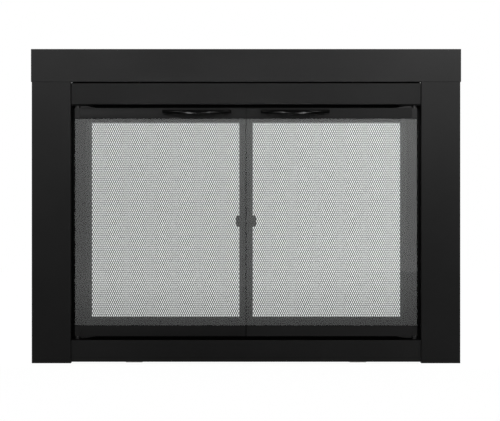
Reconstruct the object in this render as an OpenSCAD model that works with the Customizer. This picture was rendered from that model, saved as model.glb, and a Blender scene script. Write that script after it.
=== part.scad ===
// Glass door set for a masonry fireplace: a black steel surround, two glass
// doors in metal channels, and two mesh gates on pins behind them.
// The origin lies on the hearth, midway between the two floor anchor holes.
// The front looks along -y. A side is -1 for the left and 1 for the right.

/* [Surround] */
// Width over the two legs
frame_w = 1143; // [1050:1:1300]
// Height from the hearth to the top of the header
frame_h = 838; // [790:1:920]
// How far the legs stand out from the wall
frame_d = 50; // [48:1:65]
// Thickness of the folded sheet steel
sheet_t = 2; // [1.5:0.1:2.4]
// Width of the return flange that lies on the wall
return_w = 12; // [11:0.5:18]
// Height of the header
header_h = 87; // [75:1:110]
// How far the header reaches past the legs
header_lip = 2; // [0.5:0.5:6]
// Width of a leg
leg_w = 104; // [80:1:130]

/* [Rails] */
// Height of the top rail
top_rail_h = 57; // [50:0.5:75]
// Height of the bottom rail
bottom_rail_h = 57.5; // [50:0.5:75]
// Shadow groove between the header and the top rail
groove_h = 3.5; // [3:0.5:8]
// Gap between the hearth and the bottom rail
floor_gap = 3.5; // [2:0.5:6]
// How far the rails stand back from the face of the legs
rail_recess = 6; // [2:0.5:8]

/* [Inner angles] */
// Width of the angles beside the doors
jamb_w = 36; // [32:0.5:46]
// Height of the strip behind the gap over the doors
head_strip_h = 18.5; // [17:0.5:24]
// Height of the strip behind the gap under the doors
sill_strip_h = 32; // [28:0.5:40]
// Space between the back of the doors and the angles
angle_gap = 12; // [11.5:0.5:13]
// Width of the lip behind the hinge side of the gates
jamb_lip_w = 9; // [5:0.5:12]
// How far that lip steps back from the face of the angle
jamb_step = 4; // [4:0.5:8]

/* [Doors] */
// Gap over the doors
door_top_gap = 9; // [8.5:0.5:14]
// Gap under the doors
door_bottom_gap = 10.5; // [9.5:0.5:14]
// Gap between a door and its leg
door_side_gap = 10.5; // [8:0.5:14]
// Gap between the two doors
door_meeting_gap = 1.5; // [1:0.5:5]
// How far the doors stand back from the face of the rails
door_setback = 2; // [0:0.5:4]
// Thickness of the tempered glass
glass_t = 5; // [4:0.5:6]
// Height of the channels on the glass
channel_h = 29; // [27:0.5:36]
// Depth of the channels
channel_d = 16; // [15:0.5:18]
// Wall of the channels
channel_t = 1.5; // [1:0.1:2]
// Distance of the pivot pins from the outer edge of the door
pivot_inset = 7; // [6:0.25:8]
// How far the pivot blocks reach past their pins along the channels
pivot_block_in = 7.5; // [7.5:0.5:12]
// Length of the tongues that hold the pivot blocks to the channels
tongue_l = 40; // [30:1:60]
// Height of the tongues at their thick end
tongue_h = 4.5; // [2:0.25:5]
// Radius of the pivot pins
pivot_r = 4; // [3:0.25:4.5]
// Thickness of the hinge plates
hinge_plate_t = 3; // [2:0.25:3.5]
// Length of the hinge plates
hinge_plate_l = 58; // [52:1:70]

/* [Handles] */
// Length of a handle
handle_l = 184; // [140:1:220]
// Distance of a handle from the meeting edge of its door
handle_inset = 38.5; // [25:0.5:60]
// How far the ends of a handle stand off the channel
handle_standoff = 14; // [11:0.5:20]
// How much further the middle of a handle bows out
handle_bow = 14; // [8:0.5:20]
// How far the middle of a handle hangs below its ends
handle_droop = 5; // [3:0.5:10]
// Radius of the handle's posts
post_r = 4.5; // [4:0.25:5]

/* [Gates] */
// Thickness of the gate bars
gate_bar_t = 4; // [3:0.5:4]
// Width of the stile on the hinge side
hinge_stile_w = 17; // [15.5:0.5:26]
// Width of the stile on the meeting side
meeting_stile_w = 17.5; // [15:0.5:26]
// Height of the top and bottom bars
gate_rail_h = 24; // [20:0.5:30]
// Gap between a gate and its side angle
gate_side_gap = 2; // [1.5:0.25:3]
// Gap between a gate and the strips above and below
gate_end_gap = 6; // [5.5:0.25:8]
// Gap between the two gates
gate_meeting_gap = 0.5; // [0.5:0.25:5]
// Distance of the gate pins from the outer edge of the gate
gate_pin_inset = 5; // [4.5:0.25:6]
// Radius of the gate pins
gate_pin_r = 2.5; // [2:0.25:2.75]
// Thickness of the hinge lugs
lug_t = 2; // [1.5:0.25:2.5]
// Thickness of the mesh
mesh_t = 2; // [1:0.25:2.5]
// How far the mesh lies over the gate bars
mesh_overlap = 8; // [6:0.5:11]
// Thickness of the strands of the mesh
strand_w = 4; // [2.5:0.5:8]
// Cells of the mesh across a gate
cells_x = 8; // [4:1:9]
// Cells of the mesh up a gate
cells_z = 11; // [5:1:12]
// Height of the finger pulls
pull_h = 31; // [30:1:45]
// Width of the finger pulls
pull_w = 25; // [22:0.5:30]
// Corner radius of the finger pulls
pull_r = 6; // [3:0.5:9]
// How far the lip of a finger pull stands out
pull_lip = 8; // [5:0.5:8.5]
// Height of the middle of the finger pulls above the hearth
pull_z = 379; // [300:1:450]

/* [Clamps and brackets] */
// Distance between the two lintel clamps
clamp_spacing = 600; // [500:5:700]
// Width of a clamp arm
clamp_w = 30; // [24:1:40]
// How far a clamp arm reaches behind the face of the wall
clamp_reach = 95; // [80:1:130]
// Height of the upright of a clamp
clamp_rise = 57; // [50:1:70]
// Radius of the clamp screws
clamp_screw_r = 4; // [3:0.25:5]
// Length of the clamp screws
clamp_screw_l = 73; // [66:1:80]
// Distance between the two floor brackets
bracket_spacing = 600; // [500:5:700]
// Width of a floor bracket
bracket_w = 44; // [40:1:60]
// How far a floor bracket reaches behind the face of the wall
bracket_reach = 70; // [60:1:90]
// Thickness of the brackets
bracket_t = 3; // [2:0.25:4]
// Radius of the anchor holes in the floor brackets
anchor_r = 3.5; // [3:0.25:4.5]
// Distance of the anchor holes behind the face of the wall
anchor_back = 40; // [32:1:45]
// Height of the angle of a floor bracket
bracket_h = 42; // [34:1:54]

/* [Fasteners] */
// Radius of the bolts that hold the frame together
bolt_r = 2.5; // [2:0.25:3]
// Radius of the rivets
rivet_r = 1.6; // [1.5:0.1:2]
// Radius of the screws in the handles and pulls
small_screw_r = 1.5; // [1.25:0.25:1.75]

/* [Hidden] */
$fn = 24;

left = -1;
right = 1;
// Clearance of a shaft in its hole
running_fit = 0.05;
// Clearance between pieces that move past each other
gap = 0.3;
// How far a cutter reaches past the face it cuts
past = 1;
// Facets that are drawn round a fastener
fastener_fn = 14;

// Surround
wall_y = -anchor_back;
half_w = frame_w / 2;
leg_x = half_w - leg_w;
leg_y = wall_y - frame_d;
header_x = half_w + header_lip;
header_y = leg_y - header_lip;
header_z = frame_h - header_h;
top_rail_z1 = header_z - groove_h;
top_rail_z0 = top_rail_z1 - top_rail_h;
bottom_rail_z1 = floor_gap + bottom_rail_h;
rail_y = leg_y + rail_recess;
// Half of a rail's depth, where its bolts sit
rail_mid_y = (rail_y + wall_y) / 2;

// Doors
door_x0 = door_meeting_gap / 2;
door_x1 = leg_x - door_side_gap;
door_z0 = bottom_rail_z1 + door_bottom_gap;
door_z1 = top_rail_z0 - door_top_gap;
door_y0 = rail_y + door_setback;
door_y1 = door_y0 + channel_d;
door_y = (door_y0 + door_y1) / 2;
pivot_x = door_x1 - pivot_inset;
block_x = pivot_x - pivot_block_in;
// Play between the glass, its liner and the pivot blocks
glass_play = 0.5;
liner_base = 1;
pin_depth = 20;
// How far the root of a tongue reaches over and into its pivot block, and the room round the bush
tongue_seat = 1;
tongue_room = 0.5;
bush_r = pivot_block_in - tongue_seat - tongue_room;
// Share of a tongue that keeps its full height, and its width and thickness at the tip
tongue_flat = 0.42;
tongue_w = 12;
tongue_tip = 0.8;

// Handles
handle_x0 = door_x0 + handle_inset;
handle_x = handle_x0 + handle_l / 2;
handle_raise = 1.5;
handle_z = door_z1 - channel_h / 2 + handle_raise;
// Half of the handle's height at its ends and waist, and how much its lobes add
handle_half_h = 4.4;
handle_lobe = 1.2;
handle_half_t = 3.2;
post_spread = 0.86;
handle_rings = 24;
handle_sides = 12;

// Angles and strips
angle_y = door_y1 + angle_gap;
jamb_x = leg_x - jamb_w;
head_strip_z = top_rail_z0 - head_strip_h;
sill_strip_z = bottom_rail_z1 + sill_strip_h;

// Gates
gate_x0 = gate_meeting_gap / 2;
gate_x1 = jamb_x - gate_side_gap;
gate_z0 = sill_strip_z + gate_end_gap;
gate_z1 = head_strip_z - gate_end_gap;
gate_y0 = angle_y - gate_bar_t;
mesh_y0 = gate_y0 - mesh_t;
gate_pin_x = gate_x1 - gate_pin_inset;
// How far the gate pins stand in front of the middle of the bars
gate_pin_front = 1;
gate_pin_y = angle_y - gate_bar_t / 2 - gate_pin_front;
lug_gap = 2;
lug_tab_h = 20;
lug_wall = 2.5;
lug_l = 15;
lug_tab_x = jamb_x + 1.5;
lug_rivet_inset = 8.5;
mesh_x0 = gate_x0 + meeting_stile_w - mesh_overlap;
mesh_x1 = gate_x1 - hinge_stile_w + mesh_overlap;
mesh_z0 = gate_z0 + gate_rail_h - mesh_overlap;
mesh_z1 = gate_z1 - gate_rail_h + mesh_overlap;
pull_t = 1.5;
pull_x0 = gate_x0 + 2;
pull_screw_dz = 9;
pull_lip_inset = 3;

// Catches and stops
catch_x = 50;
catch_l = 40;
catch_margin = 0.5;
stop_w = 90;
stop_inset = 3;
stop_rivet_inset = 10;
magnet_r = 6;

// Clamps and brackets
arm_play = 0.5;
arm_t = groove_h - arm_play;
arm_inset = 8;
arm_y0 = rail_y + arm_inset;
arm_y1 = wall_y + clamp_reach;
// Distance of a clamp screw below the top of its upright
clamp_screw_drop = 22;
clamp_z = top_rail_z1 + clamp_rise - clamp_screw_drop;
// Size across the corners of the clamps' nuts and screw heads, past the thread
clamp_hex = 3.5;
clamp_nut_h = 6;
clamp_head_h = 5;
// Foot on the tip of a clamp screw, and its distance from the upright at rest
foot_t = 3;
foot_r = 8;
foot_travel = 29;
corner_l = 84;
corner_h = 60;
bracket_bolt_dx = 12;

// Fasteners
head_over = 2.2;
head_h = 2.5;
screw_past = 5;
nut_h = 3;
// Depth of a sunk screw head, which leaves a rim of the hinge plate below it
sink_rim = 0.5;
sink_h = min(head_over, hinge_plate_t - sink_rim);
rivet_head_h = 1.2;
rivet_y = wall_y - 6;
// Places of fasteners, as lengths from an edge or shares of a stretch
corner_bolt_inset = [18, 58];
rail_bolt_shares = [0.3, 0.7];
jamb_rivet_shares = [0.08, 0.36, 0.64, 0.92];
strip_rivet_shares = [-0.8, -0.27, 0.27, 0.8];
hinge_screw_inset = [16, 34];
arm_bolt_inset = [8, 22];

// A box between low and high coordinates along each axis.
module block(x, y, z) {
    translate([x[0], y[0], z[0]])
        cube([x[1] - x[0], y[1] - y[0], z[1] - z[0]]);
}

// Mirrors what is drawn for the right side to the asked side.
module on_side(side) {
    mirror([side < 0 ? 1 : 0, 0, 0])
        children();
}

module both_sides() {
    for (side = [left, right])
        on_side(side)
            children();
}

// A cylinder along an axis, from a low to a high coordinate on that axis.
module rod_y(r, x, y, z) {
    translate([x, y[1], z])
        rotate([90, 0, 0])
            cylinder(r = r, h = y[1] - y[0]);
}

module rod_z(r, x, y, z) {
    translate([x, y, z[0]])
        cylinder(r = r, h = z[1] - z[0]);
}

// A sheet tray that is open at the back, with return flanges on the wall.
module tray(x, y, z) {
    difference() {
        block(x, y, z);
        block([x[0] + sheet_t, x[1] - sheet_t], [y[0] + sheet_t, y[1] - sheet_t],
            [z[0] + sheet_t, z[1] - sheet_t]);
        block([x[0] + return_w, x[1] - return_w], [y[1] - sheet_t - past, y[1] + past],
            [z[0] + return_w, z[1] - return_w]);
    }
}

// A screw along z with its head at the bottom, starting under the seat at z = 0.
module screw(r, length) {
    translate([0, 0, -head_h])
        cylinder(r = r + head_over, h = head_h, $fn = fastener_fn);
    cylinder(r = r, h = length, $fn = fastener_fn);
}

// A cone along z that is widest at z = 0: the sunk head of a flat screw, or its seat.
module sunk_head(r) {
    cylinder(r1 = r + sink_h, r2 = r, h = sink_h, $fn = fastener_fn);
}

// A screw along z whose head is sunk level with the plate at z = 0.
module flat_screw(r, length) {
    sunk_head(r);
    cylinder(r = r, h = length, $fn = fastener_fn);
}

// A nut whose lower face is at z = 0.
module nut(r) {
    difference() {
        cylinder(r = r + head_over, h = nut_h, $fn = 6);
        translate([0, 0, -past])
            cylinder(r = r + running_fit, h = nut_h + 2 * past, $fn = fastener_fn);
    }
}

// A bolt along z through a stack of sheets, with its nut on the far side.
module bolt_and_nut(r, stack) {
    screw(r, stack + nut_h + 1);
    translate([0, 0, stack])
        nut(r);
}

module rivet(stack) {
    translate([0, 0, -rivet_head_h])
        cylinder(r = rivet_r * 2, h = rivet_head_h, $fn = fastener_fn);
    cylinder(r = rivet_r, h = stack, $fn = fastener_fn);
    translate([0, 0, stack])
        cylinder(r = rivet_r * 2, h = rivet_head_h, $fn = fastener_fn);
}

// ---- Places of the fasteners, each with z as the fastener's own axis ----

// Bolts up through the leg's top and the header's bottom flange, seen from the right.
module at_corner_bolts() {
    for (dx = corner_bolt_inset)
        translate([half_w - dx, (leg_y + wall_y) / 2, header_z])
            children();
}

// Bolts from a rail into the leg beside it, along +x.
module at_rail_bolts(z0, z1) {
    for (f = rail_bolt_shares)
        translate([leg_x - sheet_t, rail_mid_y, z0 + (z1 - z0) * f])
            rotate([0, 90, 0])
                children();
}

// Rivets from a side angle into the leg, along +x.
module at_jamb_rivets() {
    for (f = jamb_rivet_shares)
        translate([leg_x - sheet_t, rivet_y, sill_strip_z + (head_strip_z - sill_strip_z) * f])
            rotate([0, 90, 0])
                children();
}

// Rivets from the strips into the rails, along +z.
module at_strip_rivets(z) {
    for (f = strip_rivet_shares)
        translate([leg_x * f, rivet_y, z])
            children();
}

// Rivets that hold the upper and lower gate lugs on the side angles, along +y.
module at_lug_rivets() {
    for (z = [gate_z1 - lug_rivet_inset, gate_z0 + lug_rivet_inset])
        translate([jamb_x + lug_rivet_inset, angle_y - lug_t, z])
            rotate([-90, 0, 0])
                children();
}

// Rivets of the gates' stop plate, along +y.
module at_stop_rivets() {
    for (x = [-stop_w / 2 + stop_rivet_inset, stop_w / 2 - stop_rivet_inset])
        translate([x, angle_y, head_strip_z + head_strip_h / 2])
            rotate([-90, 0, 0])
                children();
}

// Screws of the hinge plates.
module at_hinge_screws() {
    for (dx = hinge_screw_inset)
        translate([pivot_x - dx, door_y, 0])
            children();
}

// Bolts of a clamp arm, up through the top rail.
module at_arm_bolts() {
    for (dy = arm_bolt_inset)
        translate([clamp_spacing / 2, arm_y0 + dy, top_rail_z1 - sheet_t])
            children();
}

// Bolts of a floor bracket, forward through the bottom rail's return flange.
module at_bracket_bolts() {
    for (dx = [-bracket_bolt_dx, bracket_bolt_dx])
        translate([bracket_spacing / 2 + dx, wall_y + bracket_t,
            floor_gap + (return_w + sheet_t) / 2])
            rotate([90, 0, 0])
                children();
}

module hole_for(r, depth) {
    translate([0, 0, -past])
        cylinder(r = r + running_fit, h = depth + 2 * past, $fn = fastener_fn);
}

// ---- Surround ----

module header() {
    color("#353535")
        difference() {
            tray([-header_x, header_x], [header_y, wall_y], [header_z, frame_h]);
            both_sides()
                at_corner_bolts()
                    hole_for(bolt_r, sheet_t);
        }
}

module leg(side) {
    color("#262626")
        on_side(side)
            difference() {
                tray([leg_x, half_w], [leg_y, wall_y], [0, header_z]);
                at_corner_bolts()
                    translate([0, 0, -sheet_t])
                        hole_for(bolt_r, sheet_t);
                at_rail_bolts(top_rail_z0, top_rail_z1)
                    hole_for(bolt_r, 2 * sheet_t);
                at_rail_bolts(floor_gap, bottom_rail_z1)
                    hole_for(bolt_r, 2 * sheet_t);
                at_jamb_rivets()
                    hole_for(rivet_r, 2 * sheet_t);
            }
}

module top_rail() {
    lip_z = [top_rail_z1 - sheet_t, header_z];
    arm_room = clamp_w / 2 + gap;
    color("#2a2a2a")
        difference() {
            union() {
                tray([-leg_x, leg_x], [rail_y, wall_y], [top_rail_z0, top_rail_z1]);
                // Lip that closes the groove under the header
                block([-leg_x, leg_x], [wall_y - sheet_t, wall_y], lip_z);
            }
            both_sides() {
                block([clamp_spacing / 2 - arm_room, clamp_spacing / 2 + arm_room],
                    [wall_y - sheet_t - past, wall_y + past], [top_rail_z1, header_z + past]);
                at_rail_bolts(top_rail_z0, top_rail_z1)
                    hole_for(bolt_r, sheet_t);
                at_hinge_screws()
                    translate([0, 0, top_rail_z0])
                        hole_for(bolt_r, sheet_t);
                translate([pivot_x, door_y, top_rail_z0])
                    hole_for(pivot_r + 1, sheet_t);
                at_arm_bolts()
                    hole_for(bolt_r, sheet_t);
            }
            at_strip_rivets(top_rail_z0 - sheet_t)
                hole_for(rivet_r, 2 * sheet_t);
        }
}

module bottom_rail() {
    color("#1c1c1c")
        difference() {
            tray([-leg_x, leg_x], [rail_y, wall_y], [floor_gap, bottom_rail_z1]);
            both_sides() {
                at_rail_bolts(floor_gap, bottom_rail_z1)
                    hole_for(bolt_r, sheet_t);
                at_hinge_screws()
                    translate([0, 0, bottom_rail_z1 - sheet_t])
                        hole_for(bolt_r, sheet_t);
                translate([pivot_x, door_y, bottom_rail_z1 - sheet_t])
                    hole_for(pivot_r + 1, sheet_t);
                at_bracket_bolts()
                    hole_for(bolt_r, bracket_t + sheet_t);
            }
            at_strip_rivets(bottom_rail_z1 - sheet_t)
                hole_for(rivet_r, 2 * sheet_t);
        }
}

// Side angle between the leg and a gate, with a stepped lip behind the gate's stile.
module jamb(side) {
    lip_y = angle_y + jamb_step;
    color("#2c2c2c")
        on_side(side)
            difference() {
                union() {
                    block([jamb_x, leg_x], [angle_y, angle_y + sheet_t],
                        [sill_strip_z, head_strip_z]);
                    block([leg_x - sheet_t, leg_x], [angle_y, wall_y],
                        [sill_strip_z, head_strip_z]);
                    block([jamb_x, jamb_x + sheet_t], [angle_y, lip_y + sheet_t],
                        [sill_strip_z, head_strip_z]);
                    block([jamb_x - jamb_lip_w, jamb_x], [lip_y, lip_y + sheet_t],
                        [sill_strip_z, head_strip_z]);
                }
                at_jamb_rivets()
                    hole_for(rivet_r, sheet_t);
                at_lug_rivets()
                    hole_for(rivet_r, lug_t + sheet_t);
            }
}

// Angle under the top rail, behind the gap over the doors.
module head_strip() {
    color("#242424")
        difference() {
            union() {
                block([-leg_x, leg_x], [angle_y, angle_y + sheet_t], [head_strip_z, top_rail_z0]);
                block([-leg_x, leg_x], [angle_y, wall_y], [top_rail_z0 - sheet_t, top_rail_z0]);
            }
            at_strip_rivets(top_rail_z0 - sheet_t)
                hole_for(rivet_r, sheet_t);
            at_stop_rivets()
                hole_for(rivet_r, sheet_t);
        }
}

// Angle on the bottom rail, behind the gap under the doors.
module sill_strip() {
    color("#242424")
        difference() {
            union() {
                block([-leg_x, leg_x], [angle_y, angle_y + sheet_t],
                    [bottom_rail_z1, sill_strip_z]);
                block([-leg_x, leg_x], [angle_y, wall_y],
                    [bottom_rail_z1, bottom_rail_z1 + sheet_t]);
            }
            at_strip_rivets(bottom_rail_z1)
                hole_for(rivet_r, sheet_t);
        }
}

// Angle brackets inside the ends of the header, over the legs.
module corner_brackets() {
    x = header_x - sheet_t;
    y = [header_y + sheet_t, wall_y - sheet_t];
    z = header_z + sheet_t;
    color("#8a8d90")
        both_sides()
            difference() {
                union() {
                    block([x - corner_l, x], y, [z, z + bracket_t]);
                    block([x - bracket_t, x], y, [z, z + corner_h]);
                }
                at_corner_bolts()
                    hole_for(bolt_r, sheet_t + bracket_t);
            }
}

module corner_bolts() {
    color("#9a9da0")
        both_sides()
            at_corner_bolts()
                translate([0, 0, -sheet_t])
                    bolt_and_nut(bolt_r, 2 * sheet_t + bracket_t);
}

module rail_bolts() {
    color("#9a9da0")
        both_sides() {
            at_rail_bolts(top_rail_z0, top_rail_z1)
                bolt_and_nut(bolt_r, 2 * sheet_t);
            at_rail_bolts(floor_gap, bottom_rail_z1)
                bolt_and_nut(bolt_r, 2 * sheet_t);
        }
}

module frame_rivets() {
    color("#3a3a3a") {
        both_sides() {
            at_jamb_rivets()
                rivet(2 * sheet_t);
            at_lug_rivets()
                rivet(lug_t + sheet_t);
        }
        at_strip_rivets(top_rail_z0 - sheet_t)
            rivet(2 * sheet_t);
        at_strip_rivets(bottom_rail_z1 - sheet_t)
            rivet(2 * sheet_t);
        at_stop_rivets()
            rivet(2 * sheet_t);
    }
}

// ---- Door hinges ----

// Outline of a hinge plate: full width at the leg, tapering past the pivot.
module hinge_plate_outline() {
    x1 = leg_x - 1;
    x0 = x1 - hinge_plate_l;
    wide = channel_d / 2;
    narrow = bolt_r + sink_h + gap;
    polygon([[x1, door_y - wide], [x1, door_y + wide], [pivot_x - wide, door_y + wide],
        [x0, door_y + narrow], [x0, door_y - narrow], [pivot_x - wide, door_y - wide]]);
}

// The upper plates lie under the top rail, the lower ones on the bottom rail.
module hinge_plates(upper) {
    z = upper ? top_rail_z0 - hinge_plate_t : bottom_rail_z1;
    color("#3a3a3a")
        both_sides()
            difference() {
                translate([0, 0, z])
                    linear_extrude(hinge_plate_t)
                        hinge_plate_outline();
                translate([pivot_x, door_y, z])
                    rod_z(pivot_r + running_fit, 0, 0, [-past, hinge_plate_t + past]);
                at_hinge_screws()
                    translate([0, 0, z]) {
                        hole_for(bolt_r, hinge_plate_t);
                        translate([0, 0, upper ? 0 : hinge_plate_t])
                            mirror([0, 0, upper ? 0 : 1])
                                sunk_head(bolt_r + running_fit);
                    }
            }
}

module hinge_plate_screws() {
    length = hinge_plate_t + sheet_t + screw_past;
    color("#9a9da0")
        both_sides()
            at_hinge_screws() {
                translate([0, 0, top_rail_z0 - hinge_plate_t])
                    flat_screw(bolt_r, length);
                translate([0, 0, bottom_rail_z1 + hinge_plate_t])
                    mirror([0, 0, 1])
                        flat_screw(bolt_r, length);
            }
}

// A bush round a pivot pin, between the heights z[0] and z[1].
module pivot_bush(z) {
    difference() {
        rod_z(bush_r, pivot_x, door_y, z);
        rod_z(pivot_r + running_fit, pivot_x, door_y, [z[0] - past, z[1] + past]);
    }
}

// Bushes on the lower hinge plates that carry the doors, and collars under the upper ones.
module pivot_bushes() {
    color("#1c1c1c")
        both_sides() {
            pivot_bush([bottom_rail_z1 + hinge_plate_t, door_z0 - gap]);
            pivot_bush([door_z1 + gap, top_rail_z0 - hinge_plate_t]);
        }
}

// ---- Gate hinges, catches and stops ----

// A lug whose ear lies between the heights z and z + lug_t; up is the tab's direction.
module gate_lug(z, up) {
    ear_x = gate_pin_x - gate_pin_r - lug_wall;
    tab_x = jamb_x + lug_l;
    tab_z = up > 0 ? [z - lug_tab_h, z + lug_t] : [z, z + lug_t + lug_tab_h];
    difference() {
        union() {
            block([ear_x, tab_x], [mesh_y0 - 1, angle_y], [z, z + lug_t]);
            block([ear_x, jamb_x - gap], [angle_y - past, gate_pin_y + gate_pin_r + lug_wall],
                [z, z + lug_t]);
            block([lug_tab_x, tab_x], [angle_y - lug_t, angle_y], tab_z);
        }
        rod_z(gate_pin_r + running_fit, gate_pin_x, gate_pin_y, [z - past, z + lug_t + past]);
        at_lug_rivets()
            hole_for(rivet_r, lug_t);
    }
}

module gate_hinge_lugs() {
    color("#303030")
        both_sides() {
            gate_lug(gate_z1 + lug_gap, 1);
            gate_lug(gate_z0 - lug_gap - lug_t, -1);
        }
}

// Magnet blocks on the head strip, behind the top channel of each door.
module door_catches() {
    color("#1d1d1d")
        both_sides()
            block([catch_x, catch_x + catch_l], [door_y1 + gap, angle_y],
                [head_strip_z + catch_margin, door_z1 - catch_margin]);
}

// Plate behind the head strip that the gates close against.
module gate_stop_plate() {
    color("#303030")
        difference() {
            block([-stop_w / 2, stop_w / 2], [angle_y + sheet_t, angle_y + 2 * sheet_t],
                [gate_z1 - gate_rail_h + stop_inset, top_rail_z0 - sheet_t - gap]);
            at_stop_rivets()
                hole_for(rivet_r, 2 * sheet_t);
        }
}

// Round magnets on the stop plate, one behind the top bar of each gate.
module gate_magnets() {
    color("#b0b3b6")
        both_sides()
            rod_y(magnet_r, stop_w / 4, [angle_y + gap, angle_y + sheet_t],
                gate_z1 - gate_rail_h / 2);
}

// ---- Lintel clamps and floor brackets ----

// Arm that lies on the top rail and turns up behind the lintel, with a weld nut.
module lintel_clamp(side) {
    x = clamp_spacing / 2;
    width = [x - clamp_w / 2, x + clamp_w / 2];
    z = top_rail_z1;
    color("#7c7f82")
        on_side(side)
            difference() {
                union() {
                    block(width, [arm_y0, arm_y1], [z, z + arm_t]);
                    block(width, [arm_y1 - arm_t, arm_y1], [z, z + clamp_rise]);
                    translate([x, arm_y1, clamp_z])
                        rotate([-90, 0, 0])
                            cylinder(r = clamp_screw_r + clamp_hex, h = clamp_nut_h, $fn = 6);
                }
                at_arm_bolts()
                    hole_for(bolt_r, sheet_t + arm_t);
                rod_y(clamp_screw_r + running_fit, x,
                    [arm_y1 - arm_t - past, arm_y1 + clamp_nut_h + past], clamp_z);
            }
}

// Screw that is turned in to grip the lintel between its foot and the header.
module clamp_screw(side) {
    x = clamp_spacing / 2;
    tip = arm_y1 - arm_t - foot_travel;
    color("#9a9da0")
        on_side(side) {
            rod_y(foot_r, x, [tip - foot_t, tip], clamp_z);
            rod_y(clamp_screw_r, x, [tip, tip + clamp_screw_l], clamp_z);
            translate([x, tip + clamp_screw_l, clamp_z])
                rotate([-90, 0, 0])
                    cylinder(r = clamp_screw_r + clamp_hex, h = clamp_head_h, $fn = 6);
        }
}

// Angle on the hearth behind the bottom rail, with an anchor hole.
module floor_bracket(side) {
    x = [bracket_spacing / 2 - bracket_w / 2, bracket_spacing / 2 + bracket_w / 2];
    color("#7c7f82")
        on_side(side)
            difference() {
                union() {
                    block(x, [wall_y, wall_y + bracket_reach], [0, bracket_t]);
                    block(x, [wall_y, wall_y + bracket_t], [0, bracket_h]);
                }
                at_bracket_bolts()
                    hole_for(bolt_r, bracket_t);
                translate([bracket_spacing / 2, 0, -past])
                    cylinder(r = anchor_r, h = bracket_t + 2 * past);
            }
}

module bracket_bolts() {
    color("#9a9da0")
        both_sides() {
            at_arm_bolts()
                screw(bolt_r, sheet_t + arm_t);
            at_bracket_bolts()
                bolt_and_nut(bolt_r, bracket_t + sheet_t);
        }
}

// ---- Doors ----

// Glass with its outer corners notched for the pivot blocks.
module door_glass(side) {
    y = [door_y - glass_t / 2, door_y + glass_t / 2];
    edge = channel_t + liner_base;
    notch_x = block_x - glass_play;
    color("#9fb0ab", 0.35)
        on_side(side)
            difference() {
                block([door_x0, door_x1], y, [door_z0 + edge, door_z1 - edge]);
                block([notch_x, door_x1 + past], [y[0] - past, y[1] + past],
                    [door_z0 - past, door_z0 + channel_h + glass_play]);
                block([notch_x, door_x1 + past], [y[0] - past, y[1] + past],
                    [door_z1 - channel_h - glass_play, door_z1 + past]);
            }
}

// Turns what is drawn for the top edge of a door over to its bottom edge.
module at_edge(top) {
    translate([0, 0, top ? 0 : door_z0 + door_z1])
        mirror([0, 0, top ? 0 : 1])
            children();
}

// Places of the handle's screws, with z pointing forward out of the channel.
module at_handle_screws() {
    for (end = [-1, 1])
        translate([handle_x + end * post_spread * handle_l / 2, door_y0, post_z()])
            rotate([90, 0, 0])
                children();
}

module door_channel(side, top) {
    color(top ? "#2a2a2a" : "#1b1b1b")
        on_side(side)
            difference() {
                at_edge(top)
                    difference() {
                        block([door_x0, block_x], [door_y0, door_y1],
                            [door_z1 - channel_h, door_z1]);
                        block([door_x0 - past, block_x + past],
                            [door_y0 + channel_t, door_y1 - channel_t],
                            [door_z1 - channel_h - past, door_z1 - channel_t]);
                    }
                if (top)
                    at_handle_screws()
                        translate([0, 0, -channel_t])
                            hole_for(small_screw_r, channel_t);
            }
}

// Liners that wrap the edges of the glass inside the channels.
module door_gaskets(side) {
    color("#101010")
        on_side(side)
            difference() {
                for (top = [true, false])
                    at_edge(top)
                        difference() {
                            block([door_x0, block_x - glass_play],
                                [door_y0 + channel_t, door_y1 - channel_t],
                                [door_z1 - channel_h + 1, door_z1 - channel_t]);
                            block([door_x0 - past, block_x + past],
                                [door_y - glass_t / 2, door_y + glass_t / 2],
                                [door_z1 - channel_h, door_z1 - channel_t - liner_base]);
                        }
                at_handle_screws()
                    translate([0, 0, -channel_t - head_h - 1])
                        cylinder(r = small_screw_r + head_over + gap, h = head_h + 1 + past);
            }
}

// Outline of a tongue, seen from the front: it tapers along the channel, away from the pin.
module tongue_outline() {
    root = block_x + tongue_seat;
    flat_x = root - tongue_l * tongue_flat;
    polygon([[root, door_z1 - tongue_seat], [root, door_z1 + tongue_h],
        [flat_x, door_z1 + tongue_h], [root - tongue_l, door_z1 + tongue_tip],
        [root - tongue_l, door_z1], [block_x, door_z1], [block_x, door_z1 - tongue_seat]]);
}

// Block at the outer end of a channel, held by a tongue that lies on the channel.
module pivot_block(side, top) {
    color("#202020")
        on_side(side)
            at_edge(top)
                difference() {
                    union() {
                        block([block_x, door_x1], [door_y0, door_y1],
                            [door_z1 - channel_h, door_z1]);
                        translate([0, door_y + tongue_w / 2, 0])
                            rotate([90, 0, 0])
                                linear_extrude(tongue_w)
                                    tongue_outline();
                    }
                    rod_z(pivot_r + running_fit, pivot_x, door_y,
                        [door_z1 - pin_depth, door_z1 + past]);
                }
}

// Pins that stand out of the pivot blocks into the hinge plates.
module pivot_pins(side) {
    color("#a0a3a6")
        on_side(side) {
            rod_z(pivot_r, pivot_x, door_y, [door_z1 - pin_depth, top_rail_z0 + 1]);
            rod_z(pivot_r, pivot_x, door_y, [bottom_rail_z1 - 1, door_z0 + pin_depth]);
        }
}

// Along a handle u runs from -1 to 1. Its middle hangs and bows, its quarters swell.
function handle_dz(u) = handle_droop * (pow(abs(u), 3) - 0.31);
function handle_dy(u) = -handle_standoff - handle_bow * (1 - u * u);
function handle_hh(u) = handle_half_h + handle_lobe * pow(sin(180 * u), 2);
function post_z() = handle_z + handle_dz(post_spread);

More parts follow.
